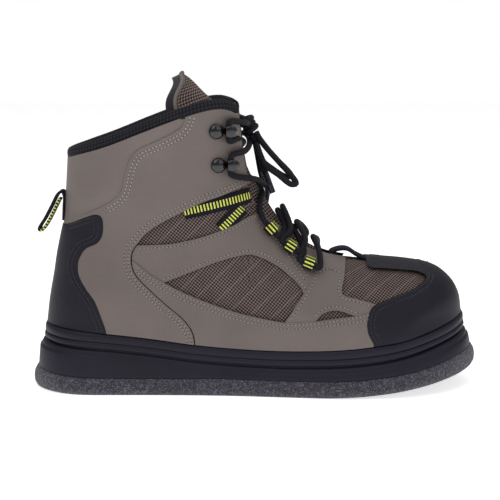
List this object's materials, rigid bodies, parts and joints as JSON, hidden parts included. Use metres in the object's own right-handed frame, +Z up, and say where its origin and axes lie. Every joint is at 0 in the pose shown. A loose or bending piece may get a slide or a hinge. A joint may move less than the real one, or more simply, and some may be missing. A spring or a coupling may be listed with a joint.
{
  "type": "wading boot",
  "caption": "Right wading boot: felt outsole, moulded midsole, hollow lasted upper with leather and mesh panels, laced with hooks and loops.",
  "frame": {"origin": "The middle of the footprint, on the plane that the sole stands on.", "axes": "+X runs from heel to toe, +Y to the inner side of the foot, +Z up."},
  "size_m": [0.318, 0.1165, 0.2213],
  "materials": {
    "felt": "pressed felt, matt",
    "moulded_sole": "satin",
    "black_synthetic": "fine grain, satin",
    "tan_leather": "smooth coated leather, satin",
    "mesh": "open mesh",
    "collar_mesh": "padded mesh",
    "lining": "brushed",
    "hook": "gloss",
    "striped_webbing": "woven webbing, black with bright stripes",
    "black_webbing": "woven webbing",
    "lace": "braided round cord"
  },
  "bodies": {
    "root": {"felt_outsole": "felt", "midsole": "moulded_sole", "insole": "lining", "upper": "mesh", "quarter_outer": "tan_leather", "quarter_inner": "tan_leather", "side_leather_outer": "tan_leather", "side_leather_inner": "tan_leather", "toe_cap": "black_synthetic", "heel_counter": "black_synthetic", "collar_band": "collar_mesh", "tongue": "mesh", "lace_keeper": "black_webbing", "pull_loop": "black_webbing", "lace_bar": "lace", "lace_knot": "lace", "lace_top_outer": "lace", "lace_top_inner": "lace", "striped_strap_outer_1": "striped_webbing", "striped_strap_outer_2": "striped_webbing", "lace_hook_outer_1": "hook", "lace_hook_outer_2": "hook", "lace_loop_outer_1": "striped_webbing", "lace_loop_outer_2": "striped_webbing", "lace_loop_outer_3": "striped_webbing", "striped_strap_inner_1": "striped_webbing", "striped_strap_inner_2": "striped_webbing", "lace_hook_inner_1": "hook", "lace_hook_inner_2": "hook", "lace_loop_inner_1": "striped_webbing", "lace_loop_inner_2": "striped_webbing", "lace_loop_inner_3": "striped_webbing", "lace_cross_1": "lace", "lace_cross_2": "lace", "lace_cross_3": "lace", "lace_cross_4": "lace", "bow_loop_outer": "lace", "bow_loop_inner": "lace", "lace_end_outer": "lace", "lace_end_inner": "lace"}
  },
  "joints": []
}
